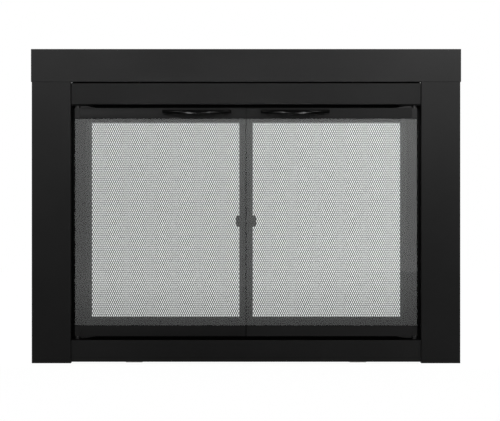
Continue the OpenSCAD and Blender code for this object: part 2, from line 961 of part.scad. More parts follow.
handle_points = [for (i = [0:handle_rings], k = [0:handle_sides - 1])
    let (u = 2 * i / handle_rings - 1, a = 360 * k / handle_sides)
        [handle_x + u * handle_l / 2,
            door_y0 + handle_dy(u) - handle_half_t * cos(a),
            handle_z + handle_dz(u) + handle_hh(u) * sin(a)]];

function ring_face(i, k) = let (n = handle_sides, a = i * n + k, b = i * n + (k + 1) % n)
    [a, b, b + n, a + n];

handle_faces = concat(
    [for (i = [0:handle_rings - 1], k = [0:handle_sides - 1]) ring_face(i, k)],
    [[for (k = [handle_sides - 1:-1:0]) k]],
    [[for (k = [0:handle_sides - 1]) handle_rings * handle_sides + k]]);

module door_handle(side) {
    post_l = -handle_dy(post_spread);
    color("#0c0c0c")
        on_side(side)
            difference() {
                union() {
                    polyhedron(handle_points, handle_faces);
                    at_handle_screws()
                        cylinder(r = post_r, h = post_l);
                }
                at_handle_screws()
                    translate([0, 0, -past])
                        cylinder(r = small_screw_r + running_fit, h = post_l + past);
            }
}

module door_handle_screws(side) {
    color("#9a9da0")
        on_side(side)
            at_handle_screws()
                translate([0, 0, -channel_t])
                    screw(small_screw_r, channel_t + handle_standoff - 2);
}

// ---- Gates ----

module gate_hinge_stile(side) {
    color("#3c3c3c")
        on_side(side)
            block([gate_x1 - hinge_stile_w, gate_x1], [gate_y0, angle_y], [gate_z0, gate_z1]);
}

module gate_meeting_stile(side) {
    color("#3c3c3c")
        on_side(side)
            difference() {
                block([gate_x0, gate_x0 + meeting_stile_w], [gate_y0, angle_y],
                    [gate_z0, gate_z1]);
                at_pull_screws()
                    translate([0, 0, -mesh_t - gate_bar_t])
                        hole_for(small_screw_r, gate_bar_t);
            }
}

// Top and bottom bars between the stiles.
module gate_rails(side) {
    color("#3c3c3c")
        on_side(side)
            for (z = [gate_z0, gate_z1 - gate_rail_h])
                block([gate_x0 + meeting_stile_w, gate_x1 - hinge_stile_w], [gate_y0, angle_y],
                    [z, z + gate_rail_h]);
}

// Diamond openings in staggered rows, drawn from the corner of the net.
module diamonds(w, h) {
    pitch_x = w / cells_x;
    pitch_z = h / cells_z;
    a = pitch_x / 2 - strand_w / sqrt(2);
    b = pitch_z / 2 - strand_w / sqrt(2);
    for (row = [0:2 * cells_z], i = [0:cells_x])
        translate([(i + (row % 2) / 2) * pitch_x, row * pitch_z / 2])
            polygon([[a, 0], [0, b], [-a, 0], [0, -b]]);
}

module gate_mesh(side) {
    rim = strand_w;
    w = mesh_x1 - mesh_x0 - 2 * rim;
    h = mesh_z1 - mesh_z0 - 2 * rim;
    color("#4a4c4b")
        on_side(side)
            difference() {
                translate([mesh_x0, gate_y0, mesh_z0])
                    rotate([90, 0, 0])
                        linear_extrude(mesh_t)
                            difference() {
                                square([w + 2 * rim, h + 2 * rim]);
                                translate([rim, rim])
                                    intersection() {
                                        square([w, h]);
                                        diamonds(w, h);
                                    }
                            }
                at_pull_screws()
                    translate([0, 0, -mesh_t])
                        hole_for(small_screw_r, mesh_t);
            }
}

// Screws of a finger pull, with z pointing forward.
module at_pull_screws() {
    for (dz = [-pull_screw_dz, pull_screw_dz])
        translate([mesh_x0 + strand_w / 2, mesh_y0, pull_z + dz])
            rotate([90, 0, 0])
                children();
}

// Finger pull: a rounded plate on the mesh with a lip at the meeting edge.
module gate_pull(side) {
    x1 = pull_x0 + pull_w;
    half_h = pull_h / 2;
    y = [mesh_y0 - pull_t, mesh_y0];
    color("#2e2e2e")
        on_side(side)
            difference() {
                union() {
                    block([pull_x0, x1 - pull_r], y, [pull_z - half_h, pull_z + half_h]);
                    block([pull_x0, x1], y,
                        [pull_z - half_h + pull_r, pull_z + half_h - pull_r]);
                    for (z = [pull_z - half_h + pull_r, pull_z + half_h - pull_r])
                        rod_y(pull_r, x1 - pull_r, y, z);
                    block([pull_x0, pull_x0 + pull_t], [mesh_y0 - pull_lip, mesh_y0],
                        [pull_z - half_h + pull_lip_inset, pull_z + half_h - pull_lip_inset]);
                }
                at_pull_screws()
                    hole_for(small_screw_r, pull_t);
            }
}

module gate_pull_screws(side) {
    color("#9a9da0")
        on_side(side)
            at_pull_screws()
                translate([0, 0, pull_t])
                    mirror([0, 0, 1])
                        screw(small_screw_r, pull_t + mesh_t + gate_bar_t);
}

// Shouldered pins on the ends of the hinge stile, in the lugs.
module gate_pins(side) {
    shoulder_r = gate_pin_r + 1;
    color("#a0a3a6")
        on_side(side) {
            rod_z(shoulder_r, gate_pin_x, gate_pin_y, [gate_z1, gate_z1 + lug_gap - gap]);
            rod_z(gate_pin_r, gate_pin_x, gate_pin_y, [gate_z1, gate_z1 + lug_gap + lug_t + 1]);
            rod_z(shoulder_r, gate_pin_x, gate_pin_y, [gate_z0 - lug_gap + gap, gate_z0]);
            rod_z(gate_pin_r, gate_pin_x, gate_pin_y, [gate_z0 - lug_gap - lug_t - 1, gate_z0]);
        }
}

header();
leg(left);  // left_leg
leg(right);  // right_leg
top_rail();
bottom_rail();
jamb(left);  // left_jamb
jamb(right);  // right_jamb
head_strip();
sill_strip();
corner_brackets();
corner_bolts();
rail_bolts();
frame_rivets();
hinge_plates(true);  // upper_hinge_plates
hinge_plates(false);  // lower_hinge_plates
hinge_plate_screws();
pivot_bushes();
gate_hinge_lugs();
door_catches();
gate_stop_plate();
gate_magnets();
lintel_clamp(left);  // left_lintel_clamp
lintel_clamp(right);  // right_lintel_clamp
clamp_screw(left);  // left_clamp_screw
clamp_screw(right);  // right_clamp_screw
floor_bracket(left);  // left_floor_bracket
floor_bracket(right);  // right_floor_bracket
bracket_bolts();
door_glass(left);  // left_door_glass
door_channel(left, true);  // left_door_top_channel
door_channel(left, false);  // left_door_bottom_channel
door_gaskets(left);  // left_door_gaskets
pivot_block(left, true);  // left_door_upper_pivot_block
pivot_block(left, false);  // left_door_lower_pivot_block
pivot_pins(left);  // left_door_pivot_pins
door_handle(left);  // left_door_handle
door_handle_screws(left);  // left_door_handle_screws
door_glass(right);  // right_door_glass
door_channel(right, true);  // right_door_top_channel
door_channel(right, false);  // right_door_bottom_channel
door_gaskets(right);  // right_door_gaskets
pivot_block(right, true);  // right_door_upper_pivot_block
pivot_block(right, false);  // right_door_lower_pivot_block
pivot_pins(right);  // right_door_pivot_pins
door_handle(right);  // right_door_handle
door_handle_screws(right);  // right_door_handle_screws
gate_hinge_stile(left);  // left_gate_hinge_stile
gate_meeting_stile(left);  // left_gate_meeting_stile
gate_rails(left);  // left_gate_rails
gate_mesh(left);  // left_gate_mesh
gate_pull(left);  // left_gate_pull
gate_pull_screws(left);  // left_gate_pull_screws
gate_pins(left);  // left_gate_pins
gate_hinge_stile(right);  // right_gate_hinge_stile
gate_meeting_stile(right);  // right_gate_meeting_stile
gate_rails(right);  // right_gate_rails
gate_mesh(right);  // right_gate_mesh
gate_pull(right);  // right_gate_pull
gate_pull_screws(right);  // right_gate_pull_screws
gate_pins(right);  // right_gate_pins
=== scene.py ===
import math
import bmesh
import bpy
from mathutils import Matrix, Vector


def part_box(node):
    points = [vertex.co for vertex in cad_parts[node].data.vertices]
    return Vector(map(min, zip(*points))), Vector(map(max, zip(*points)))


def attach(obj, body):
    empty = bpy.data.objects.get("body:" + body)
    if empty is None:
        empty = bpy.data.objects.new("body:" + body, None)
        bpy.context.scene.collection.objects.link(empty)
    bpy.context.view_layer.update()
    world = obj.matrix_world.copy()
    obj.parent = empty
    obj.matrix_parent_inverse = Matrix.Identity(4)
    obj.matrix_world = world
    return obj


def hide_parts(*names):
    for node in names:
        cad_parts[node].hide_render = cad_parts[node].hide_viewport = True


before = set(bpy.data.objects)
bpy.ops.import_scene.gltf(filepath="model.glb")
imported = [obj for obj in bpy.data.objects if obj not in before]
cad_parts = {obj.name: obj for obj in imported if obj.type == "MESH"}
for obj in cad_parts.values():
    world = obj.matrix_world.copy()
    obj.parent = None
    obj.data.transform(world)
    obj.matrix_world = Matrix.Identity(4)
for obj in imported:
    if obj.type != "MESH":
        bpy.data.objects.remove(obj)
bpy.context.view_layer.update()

# ---- Sizes that the part's source gives, in metres ----
SHEET = 0.002
RETURN_FLANGE = 0.012
GROOVE = 0.0035
WALL_Y = -0.040
LEG_X = 0.4675
JAMB_X = 0.4315
JAMB_LIP = 0.009
JAMB_STEP = 0.004
ANGLE_Y = -0.054
ARM_X = 0.300
CHANNEL_T = 0.0015
BLOCK_X = 0.4425
TONGUE_ROOT = 0.4435
TONGUE_TIP = 0.4035
TONGUE_FLAT = 0.4267
TONGUE_H = 0.0045
TONGUE_TIP_H = 0.0008
TONGUE_W = 0.012
HANDLE_X = 0.13125
HANDLE_L = 0.184
HANDLE_STAND = 0.014
HANDLE_BOW = 0.014
HANDLE_HALF_T = 0.0032
POST_SPREAD = 0.86
MESH_Y = -0.059
SHANK_R = 0.004

# ---- Sizes of the finer forms that only this scene shows ----
BEND_RADIUS = 0.0022
RAIL_GAP = 0.0008
LIP_OVERLAP = 0.004
LIP_INSET = 0.0001
ARM_ROOM = 0.0153
ANGLE_SHEET = 0.0018
ANGLE_BEND = 0.00195
SILL_RISE = 0.0057
CHANNEL_BEND = 0.0017
CHANNEL_SHORT = 0.0005
TONGUE_SUNK = 0.0006
TONGUE_LEAN = 0.0022

HANDLE_Z = 0.6690
HANDLE_HALF_H = 0.0064
HANDLE_END_RISE = 0.0026
HANDLE_END_THIN = 0.0022
HANDLE_CURVE = 1.5
HANDLE_SIDES = 24
HANDLE_TURN_ROOM = 3
HANDLE_STEPS = 17
HANDLE_STRAIGHT = 0.955
# From the tip inward: place along half the length, and share of the full section there.
HANDLE_ENDS = [(1.0, 0.35), (0.998, 0.62), (0.992, 0.86), (0.98, 0.97)]
# Middle and half length of each flat, as shares of half the handle's length.
FLATS = [(-0.42, 0.25), (0.22, 0.23)]
# Corners of a ring, counted round from its front, and how deep they are pressed.
FLAT_CORNERS = [((-1, -2), 0.198), ((0, -3), 0.131)]
FLAT_WAY = math.radians(-22.5)
POST_R = 0.0044
POST_SIDES = 24
FOOT_T = 0.0014
FOOT_SPREAD = 1.22

DIAMONDS_ACROSS = 73
DIAMOND_H = 0.01173
WIRE_SIDES = 6
WIRE_HALF_W = 0.00114
WIRE_HALF_T = 0.00052
WIRE_OVERLAP = 0.7
WEAVE_DEPTH = 0.00044
WIRE_MERGE = 0.00001
MEETING_X = 0.00002

THREAD_DEPTH = 0.0006
THREAD_PITCH = 0.0015
THREAD_STEPS = 20
THREAD_SUNK = 0.001
THREAD_SHORT = 0.003
RIDGE_WIDTH = 0.52
RIDGE_HEIGHT = 0.9

BLOCK_EASE = 0.0009
GLASS_ARRIS = 0.0006
EASE = 0.0005
FINE_EASE = 0.0004
BEND_STEPS = 3

# ---- Lengths and angles for picking, merging and smoothing ----
NEAR = 0.001
CLOSE = 0.0001
SAME = 0.000005
RUNS_BACK = 0.02
EDGE_TURN = math.radians(30)
FLAT_TURN = math.radians(0.5)
SMOOTH_DEGREES = 35
ROUND_DEGREES = 60

# ---- Values of the finishes ----
PEEL = 0.00003
GLASS_TINTS = [(0.906, 0.934, 0.925, 1), (0.916, 0.942, 0.934, 1)]
GLASS_SHADOW = (0.93, 0.95, 0.94, 1)

# ---- Room, light and camera ----
FLOOR = 24
FLOOR_PAINT = (0.85, 0.85, 0.85, 1)
FLOOR_SHINE = 1.10
FLOOR_WHITE = 0.86
# Y on the floor, and the share of white that the glass shows from there.
FLOOR_SHADE = [(-8, 0.97), (-2, 0.58), (1.5, 0.84), (9, 1)]
AIR_LIGHT = 0.40
WALL_GLOW_X = 0.56
WALL_GLOW_Z = 0.54
LEFT_DROP = 0.13
# Spans of a direction's X or Z over which the glow and the drop grow to their full value.
GLOW_SPAN_X = (-0.005, 0.053)
GLOW_SPAN_Z = (0, 0.034)
DROP_SPAN = (-0.035, 0.055)
LAMP_Y = -1.2
CAMERA_PLACE = (0.01063, -8.09, 0.4074)
CAMERA_REACH = 8
PICTURE_WIDTH = 1.33317
FILM_WIDTH = 36
WHITE = (1, 1, 1, 1)

SIDES = {"left": -1, "right": 1}


# ---- Ways of working ----

def put_down():
    """Leaves edit mode and selects nothing."""
    if bpy.context.object and bpy.context.object.mode != "OBJECT":
        bpy.ops.object.mode_set(mode="OBJECT")
    bpy.ops.object.select_all(action="DESELECT")


def pick_up(piece):
    """Makes a piece the only one selected, in object mode."""
    put_down()
    piece.select_set(True)
    bpy.context.view_layer.objects.active = piece


def work_on(piece):
    """Opens a piece in edit mode."""
    pick_up(piece)
    bpy.ops.object.mode_set(mode="EDIT")


def pick_all():
    """Selects the whole mesh, in edit mode."""
    bpy.ops.mesh.select_all(action="SELECT")


def work_on_all(piece):
    """Opens a piece in edit mode, with all of it selected."""
    work_on(piece)
    pick_all()


def move(x, y, z):
    """Moves what is selected, in edit mode."""
    bpy.ops.transform.translate(value=(x, y, z))


def settle():
    """Writes the picked object's place, turn and size into its mesh."""
    bpy.ops.object.transform_apply(location=True, rotation=True, scale=True)


def turn_outward():
    """Turns the selected faces outward, in edit mode."""
    bpy.ops.mesh.normals_make_consistent(inside=False)


def pick(piece, kind, wanted):
    """Selects the verts, edges or faces that are wanted, in edit mode."""
    bpy.ops.mesh.select_mode(type={"verts": "VERT", "edges": "EDGE", "faces": "FACE"}[kind])
    bpy.ops.mesh.select_all(action="DESELECT")
    mesh = bmesh.from_edit_mesh(piece.data)
    for element in getattr(mesh, kind):
        if wanted(element):
            element.select_set(True)
    bmesh.update_edit_mesh(piece.data)


def is_bend(edge):
    """Whether two faces meet at an angle along an edge."""
    return len(edge.link_faces) == 2 and edge.calc_face_angle(0) > EDGE_TURN


def block(name, low, high):
    """A block between two corners, as the start of a piece."""
    put_down()
    low, high = Vector(low), Vector(high)
    bpy.ops.mesh.primitive_cube_add(size=1, location=(low + high) / 2)
    piece = bpy.context.object
    piece.name = piece.data.name = name
    piece.scale = high - low
    settle()
    return piece


def use(piece, kind, **values):
    """Adds a modifier with the given values and applies it."""
    pick_up(piece)
    step = piece.modifiers.new(kind.title(), kind)
    for name, value in values.items():
        setattr(step, name, value)
    bpy.ops.object.modifier_apply(modifier=step.name)


def face_outward(piece):
    """Merges doubled points and turns all faces outward."""
    work_on_all(piece)
    bpy.ops.mesh.remove_doubles(threshold=SAME)
    turn_outward()
    put_down()


def smooth(piece, degrees=SMOOTH_DEGREES):
    """Smooths the bends and keeps the flats flat."""
    pick_up(piece)
    bpy.ops.object.shade_smooth_by_angle(angle=math.radians(degrees))
    use(piece, "WEIGHTED_NORMAL", mode="FACE_AREA", weight=100, keep_sharp=True)


def ease(piece, width, segments=2):
    """Rounds the sharp corners of a piece."""
    use(piece, "BEVEL", width=width, segments=segments, limit_method="ANGLE",
        angle_limit=EDGE_TURN, use_clamp_overlap=True)
    work_on_all(piece)
    bpy.ops.mesh.dissolve_degenerate(threshold=SAME)
    smooth(piece)


def join(name, *parts):
    """Joins parts to one piece."""
    put_down()
    for part in parts:
        part.select_set(True)
    bpy.context.view_layer.objects.active = parts[0]
    if len(parts) > 1:
        bpy.ops.object.join()
    piece = bpy.context.object
    piece.name = piece.data.name = name
    return piece


def copy_of(piece, name):
    """A copy of a piece, with its own mesh."""
    other = bpy.data.objects.new(name, piece.data.copy())
    other.data.name = name
    bpy.context.collection.objects.link(other)
    return other


def mirrored(piece, name):
    """The other side's copy of a piece."""
    other = copy_of(piece, name)
    pick_up(other)
    other.scale = (-1, 1, 1)
    settle()
    work_on_all(other)
    turn_outward()
    put_down()
    return other


def fit(piece, body, node, finish):
    """Gives a piece its body, the node that it stands for, and its finish."""
    piece.data.materials.clear()
    piece.data.materials.append(finish)
    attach(piece, body)
    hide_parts(node)


def fit_pair(piece, body, node, finish):
    """Fits a piece of the right side, and its mirrored copy on the left."""
    def on_left(name):
        return name.replace("right", "left")

    other = mirrored(piece, on_left(piece.name))
    fit(piece, body, node, finish)
    fit(other, on_left(body), on_left(node), finish)


# ---- Sheet metal ----

def folded_tray(name, low, high, joint=None):
    """A tray of sheet steel, open at the back, with welded corners and flanges on the wall.

    The corners that run back, and the front edge at the joint's height, stay sharp.
    """
    def is_sharp(edge):
        one, other = edge.verts[0].co, edge.verts[1].co
        at_joint = joint is not None and max(abs(one.z - joint), abs(other.z - joint)) < NEAR
        return abs((one - other).y) > RUNS_BACK or at_joint

    piece = block(name, low, high)
    work_on(piece)
    pick(piece, "faces", lambda f: f.normal.y > 0.9)
    bpy.ops.mesh.inset(thickness=RETURN_FLANGE)
    bpy.ops.mesh.delete(type="FACE")
    pick(piece, "edges", lambda e: is_bend(e) and not is_sharp(e))
    bpy.ops.transform.edge_bevelweight(value=1)
    use(piece, "BEVEL", width=BEND_RADIUS, segments=BEND_STEPS, limit_method="WEIGHT",
        use_clamp_overlap=False)
    use(piece, "SOLIDIFY", thickness=SHEET, offset=-1, use_even_offset=True)
    ease(piece, EASE)
    return piece


def bent_sheet(name, path, axis, low, high, sheet, radius):
    """Sheet bent along a path and straight along an axis.

    The path gives the outline of one face. In its first stretch, the sheet lies behind it.
    """
    def at(point, along):
        return Vector((along, *point) if axis == "x" else (*point, along))

    # One edge of a plane is kept, stretched along the axis and drawn out along the path.
    put_down()
    bpy.ops.mesh.primitive_plane_add(size=1)
    piece = bpy.context.object
    piece.name = piece.data.name = name
    work_on(piece)
    pick(piece, "verts", lambda v: v.co.x > 0)
    bpy.ops.mesh.delete(type="VERT")
    pick_all()
    move(0.5, 0, 0)
    bpy.ops.transform.resize(value=(1, high - low, 1))
    pick_up(piece)
    piece.rotation_euler = (0, 0, math.pi / 2) if axis == "x" else (math.pi / 2, 0, 0)
    piece.location = at(path[0], (low + high) / 2)
    settle()
    work_on(piece)
    bpy.ops.mesh.select_mode(type="EDGE")
    pick_all()
    for here, there in zip(path, path[1:]):
        bpy.ops.mesh.extrude_region_move(
            TRANSFORM_OT_translate={"value": at(there, 0) - at(here, 0)})
    pick_all()
    turn_outward()
    pick(piece, "edges", is_bend)
    bpy.ops.mesh.bevel(offset=radius, segments=BEND_STEPS, affect="EDGES")
    put_down()
    start = (at(path[0], (low + high) / 2) + at(path[1], (low + high) / 2)) / 2
    first = min(piece.data.polygons, key=lambda f: (f.center - start).length)
    offset = 1 if first.normal.y > 0 else -1
    use(piece, "SOLIDIFY", thickness=sheet, offset=offset, use_even_offset=True)
    face_outward(piece)
    smooth(piece)
    return piece


def clean_copy(node, name):
    """A copy of a node's solid, with its loose triangles merged to whole faces."""
    piece = copy_of(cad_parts[node], name)
    work_on_all(piece)
    bpy.ops.mesh.remove_doubles(threshold=SAME)
    bpy.ops.mesh.dissolve_limited(angle_limit=FLAT_TURN)
    turn_outward()
    put_down()
    return piece


def eased_copy(node, width):
    """A copy of a node's solid with its corners eased."""
    piece = clean_copy(node, node + "_eased")
    ease(piece, width)
    return piece


# ---- Finishes ----

def start_finish(name):
    """A new material, with its node tree and its shader."""
    finish = bpy.data.materials.new(name)
    finish.use_nodes = True
    tree = finish.node_tree
    return finish, tree, tree.nodes["Principled BSDF"]


def noise(tree, scale, detail):
    """A noise on the piece's own coordinates."""
    place = tree.nodes.new("ShaderNodeTexCoord")
    pattern = tree.nodes.new("ShaderNodeTexNoise")
    pattern.inputs["Scale"].default_value = scale
    pattern.inputs["Detail"].default_value = detail
    tree.links.new(place.outputs["Object"], pattern.inputs["Vector"])
    return pattern.outputs["Fac"]


def grey(level, tint=(1, 1, 1)):
    """A grey, or a pale tint of it, as a colour."""
    return (*[level * t for t in tint], 1)


def vary(tree, socket, scale, detail, low, high, span=(0.3, 0.7)):
    """Lets a value of the shader wander between two colours in a noise."""
    shade = tree.nodes.new("ShaderNodeValToRGB")
    for stop, place, colour in zip(shade.color_ramp.elements, span, (low, high)):
        stop.position, stop.color = place, colour
    tree.links.new(noise(tree, scale, detail), shade.inputs["Fac"])
    tree.links.new(shade.outputs["Color"], socket)


def rough_relief(tree, shader, *layers):
    """Bumps of (noise scale, noise detail, height), one on the other."""
    last = None
    for scale, detail, height in layers:
        bump = tree.nodes.new("ShaderNodeBump")
        bump.inputs["Strength"].default_value = 1
        bump.inputs["Distance"].default_value = height
        tree.links.new(noise(tree, scale, detail), bump.inputs["Height"])
        if last:
            tree.links.new(last, bump.inputs["Normal"])
        last = bump.outputs["Normal"]
    tree.links.new(last, shader.inputs["Normal"])


def powder_coat(name, level, rough, gloss, tint=(1, 1, 1)):
    """Baked powder paint: fine orange peel, a soft mottle and a faint sparkle."""
    finish, tree, shader = start_finish(name)
    vary(tree, shader.inputs["Base Color"], scale=6, detail=3,
         low=grey(level * 0.93, tint), high=grey(level * 1.08, tint))
    vary(tree, shader.inputs["Roughness"], scale=900, detail=1,
         low=grey(rough - 0.05), high=grey(rough + 0.06), span=(0.3, 0.75))
    shader.inputs["Specular IOR Level"].default_value = gloss
    rough_relief(tree, shader, (420, 2, PEEL), (2600, 1, PEEL / 4))
    return finish


def gloss_enamel(name, level):
    """Smooth glossy black enamel of the handles."""
    finish, tree, shader = start_finish(name)
    vary(tree, shader.inputs["Base Color"], scale=20, detail=2,
         low=grey(level * 0.9), high=grey(level * 1.1))
    vary(tree, shader.inputs["Roughness"], scale=60, detail=3, low=grey(0.07), high=grey(0.10))
    shader.inputs["Specular IOR Level"].default_value = 0.02
    rough_relief(tree, shader, (160, 2, 0.000004))
    return finish


def plated_steel(name, level, rough, tint=(1, 1, 0.97)):
    """Zinc or nickel plate, with a spangle and fine wipe marks."""
    finish, tree, shader = start_finish(name)
    vary(tree, shader.inputs["Base Color"], scale=150, detail=3,
         low=grey(level * 0.85, tint), high=grey(level * 1.1, tint), span=(0.35, 0.65))
    vary(tree, shader.inputs["Roughness"], scale=500, detail=3,
         low=grey(rough - 0.07), high=grey(rough + 0.1))
    shader.inputs["Metallic"].default_value = 1
    rough_relief(tree, shader, (900, 2, 0.00001))
    return finish


def moulded(name, level, rough):
    """Black nylon, plastic or rubber: matt, with a slight moulding grain."""
    finish, tree, shader = start_finish(name)
    vary(tree, shader.inputs["Base Color"], scale=90, detail=3,
         low=grey(level * 0.8), high=grey(level * 1.2))
    vary(tree, shader.inputs["Roughness"], scale=700, detail=2,
         low=grey(rough - 0.05), high=grey(rough + 0.05))
    shader.inputs["Specular IOR Level"].default_value = 0.15
    rough_relief(tree, shader, (1200, 2, 0.00003))
    return finish


def tempered_glass(name):
    """Clear glass that lets lamps through, with a slight green body."""
    finish, tree, shader = start_finish(name)
    darker, lighter = GLASS_TINTS
    vary(tree, shader.inputs["Base Color"], scale=2, detail=1, low=darker, high=lighter)
    for socket, value in (("Roughness", 0), ("IOR", 1.5), ("Specular IOR Level", 0.45),
                          ("Transmission Weight", 1)):
        shader.inputs[socket].default_value = value
    rays = tree.nodes.new("ShaderNodeLightPath")
    clear = tree.nodes.new("ShaderNodeBsdfTransparent")
    clear.inputs["Color"].default_value = GLASS_SHADOW
    either = tree.nodes.new("ShaderNodeMixShader")
    tree.links.new(rays.outputs["Is Shadow Ray"], either.inputs["Fac"])
    tree.links.new(shader.outputs["BSDF"], either.inputs[1])
    tree.links.new(clear.outputs["BSDF"], either.inputs[2])
    tree.links.new(either.outputs["Shader"], tree.nodes["Material Output"].inputs["Surface"])
    return finish


def all_finishes():
    """The finishes by name: a level of grey, then roughness, gloss and tint. Among the black
    coats, the levels differ from part to part as painted light and shade.
    """
    return {
        # Painted light and shade: the surround is one black paint; the header and the bottom rail
        # are set lighter than the legs and the top rail darker, for how the light falls.
        "header": powder_coat("header_coat_painted_light", 0.0165, 0.5, 0.03),
        "leg": powder_coat("leg_coat", 0.0152, 0.5, 0.03),
        "top_rail": powder_coat("top_rail_coat_painted_shade", 0.0119, 0.5, 0.03),
        "bottom_rail": powder_coat("bottom_rail_coat_painted_light", 0.018, 0.5, 0.03),
        # Painted light and shade: the channels are one paint; the top ones are set darker and the
        # bottom ones lighter for how the light falls on them.
        "channel_top": powder_coat("top_channel_coat", 0.0075, 0.42, 0.04),
        "channel_bottom": powder_coat("bottom_channel_coat", 0.017, 0.42, 0.04),
        # Painted shade: the angles behind the gaps are set near black, so that the gaps beside,
        # over and under the doors read as deep shade.
        "angle": powder_coat("angle_coat_painted_shade", 0.004, 0.55, 0.01),
        "block": powder_coat("casting_coat", 0.014, 0.45, 0.05),
        # Painted shade: the hinge plates, seen in the gaps at the door corners, are set near black
        # to read as shade.
        "hinge": powder_coat("hinge_coat_painted_shade", 0.003, 0.55, 0.01),
        "clamp": powder_coat("clamp_coat", 0.010, 0.5, 0.03),
        "gate": powder_coat("gate_coat", 0.009, 0.5, 0.03),
        "mesh": powder_coat("wire_coat", 0.022, 0.5, 0.05, (0.97, 1.02, 0.99)),
        "pull": powder_coat("pull_coat", 0.010, 0.4, 0.05),
        "handle": gloss_enamel("handle_enamel", 0.001),
        "zinc": plated_steel("zinc_plate", 0.55, 0.35),
        "pin": plated_steel("pin_steel_polish", 0.5, 0.25, (1, 1, 1)),
        "magnet": plated_steel("nickel_plate", 0.6, 0.2, (1, 0.99, 0.96)),
        "nylon": moulded("black_nylon", 0.010, 0.5),
        "catch": moulded("catch_plastic", 0.012, 0.55),
        "gasket": moulded("liner_rubber", 0.008, 0.75),
        "glass": tempered_glass("clear_glass"),
    }


# ---- Surround ----

def surround(finishes):
    """Header, legs and the two rails, each a folded tray."""
    low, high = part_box("header")
    fit(folded_tray("folded_header", low, high, low.z),
        "surround", "header", finishes["header"])
    for side in SIDES:
        node = side + "_leg"
        low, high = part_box(node)
        fit(folded_tray("folded_" + node, low, high, high.z),
            "surround", node, finishes["leg"])
    low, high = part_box("bottom_rail")
    fit(folded_tray("folded_bottom_rail", low, high),
        "surround", "bottom_rail", finishes["bottom_rail"])
    fit(top_rail(), "surround", "top_rail", finishes["top_rail"])


def top_rail():
    """The top rail, with the lip that closes the groove, cut away for the clamp arms."""
    low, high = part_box("top_rail")
    low.x, high.x = low.x + RAIL_GAP, high.x - RAIL_GAP
    top = high.z - GROOVE
    tray = folded_tray("top_rail_tray", low, (high.x, high.y, top))
    cuts = [low.x, -ARM_X - ARM_ROOM, -ARM_X + ARM_ROOM, ARM_X - ARM_ROOM, ARM_X + ARM_ROOM,
            high.x]
    lips = []
    for start, end in zip(cuts[::2], cuts[1::2]):
        lip = block("lip", (start, WALL_Y - SHEET + LIP_INSET, top - LIP_OVERLAP),
                    (end, WALL_Y - LIP_INSET, high.z))
        ease(lip, FINE_EASE)
        lips.append(lip)
    return join("folded_top_rail", tray, *lips)


def side_angles(finish):
    """The two angles beside the doors, with a stepped lip behind the gates."""
    low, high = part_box("right_jamb")
    lip_y = ANGLE_Y + JAMB_STEP
    path = [(JAMB_X - JAMB_LIP, lip_y), (JAMB_X, lip_y), (JAMB_X, ANGLE_Y),
            (LEG_X, ANGLE_Y), (LEG_X, WALL_Y)]
    piece = bent_sheet("right_side_angle", path, "z", low.z, high.z, ANGLE_SHEET, ANGLE_BEND)
    fit_pair(piece, "surround", "right_jamb", finish)


def strips(finish):
    """The angles behind the gaps over and under the doors."""
    low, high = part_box("head_strip")
    path = [(ANGLE_Y, low.z), (ANGLE_Y, high.z), (WALL_Y, high.z)]
    piece = bent_sheet("head_angle", path, "x", low.x, high.x, SHEET, BEND_RADIUS)
    fit(piece, "surround", "head_strip", finish)
    low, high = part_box("sill_strip")
    path = [(ANGLE_Y, high.z + SILL_RISE), (ANGLE_Y, low.z), (WALL_Y, low.z)]
    piece = bent_sheet("sill_angle", path, "x", low.x, high.x, SHEET, BEND_RADIUS)
    fit(piece, "surround", "sill_strip", finish)


# ---- Doors ----

def channels(top_finish, bottom_finish):
    """The folded channels on the top and bottom edges of the glass."""
    for edge, finish in (("top", top_finish), ("bottom", bottom_finish)):
        node = f"right_door_{edge}_channel"
        low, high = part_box(node)
        lip, back = (low.z, high.z) if edge == "top" else (high.z, low.z)
        path = [(low.y, lip), (low.y, back), (high.y, back), (high.y, lip)]
        piece = bent_sheet(f"right_{edge}_channel", path, "x", low.x + CHANNEL_SHORT, high.x,
                           CHANNEL_T, CHANNEL_BEND)
        fit_pair(piece, "right_door", node, finish)


def pivot_block(edge):
    """A cast block at the outer end of a channel, with its tapered tongue."""
    def above_face(vert):
        return up * (vert.co.z - face) > NEAR

    low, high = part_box(f"right_door_{edge}_pivot_block")
    up = 1 if edge == "upper" else -1
    face = high.z - TONGUE_H if up > 0 else low.z + TONGUE_H
    if up > 0:
        body = block("body", (BLOCK_X, low.y, low.z), (high.x, high.y, face))
    else:
        body = block("body", (BLOCK_X, low.y, face), (high.x, high.y, high.z))
    ease(body, BLOCK_EASE, segments=3)
    mid = (low.y + high.y) / 2
    heights = sorted((face - up * TONGUE_SUNK, face + up * TONGUE_H))
    tongue = block("tongue", (TONGUE_TIP, mid - TONGUE_W / 2, heights[0]),
                   (TONGUE_ROOT, mid + TONGUE_W / 2, heights[1]))
    work_on_all(tongue)
    bpy.ops.mesh.bisect(plane_co=(TONGUE_FLAT, 0, 0), plane_no=(1, 0, 0))
    pick(tongue, "verts", lambda v: v.co.x < TONGUE_TIP + NEAR and above_face(v))
    move(0, 0, -up * (TONGUE_H - TONGUE_TIP_H))
    pick(tongue, "verts", lambda v: v.co.x > TONGUE_ROOT - NEAR and above_face(v))
    move(-TONGUE_LEAN, 0, 0)
    ease(tongue, EASE)
    return join(f"right_{edge}_pivot_casting", body, tongue)


def pivot_blocks(finish):
    """The four pivot blocks of the doors."""
    for edge in ("upper", "lower"):
        fit_pair(pivot_block(edge), "right_door", f"right_door_{edge}_pivot_block",
                 finish)


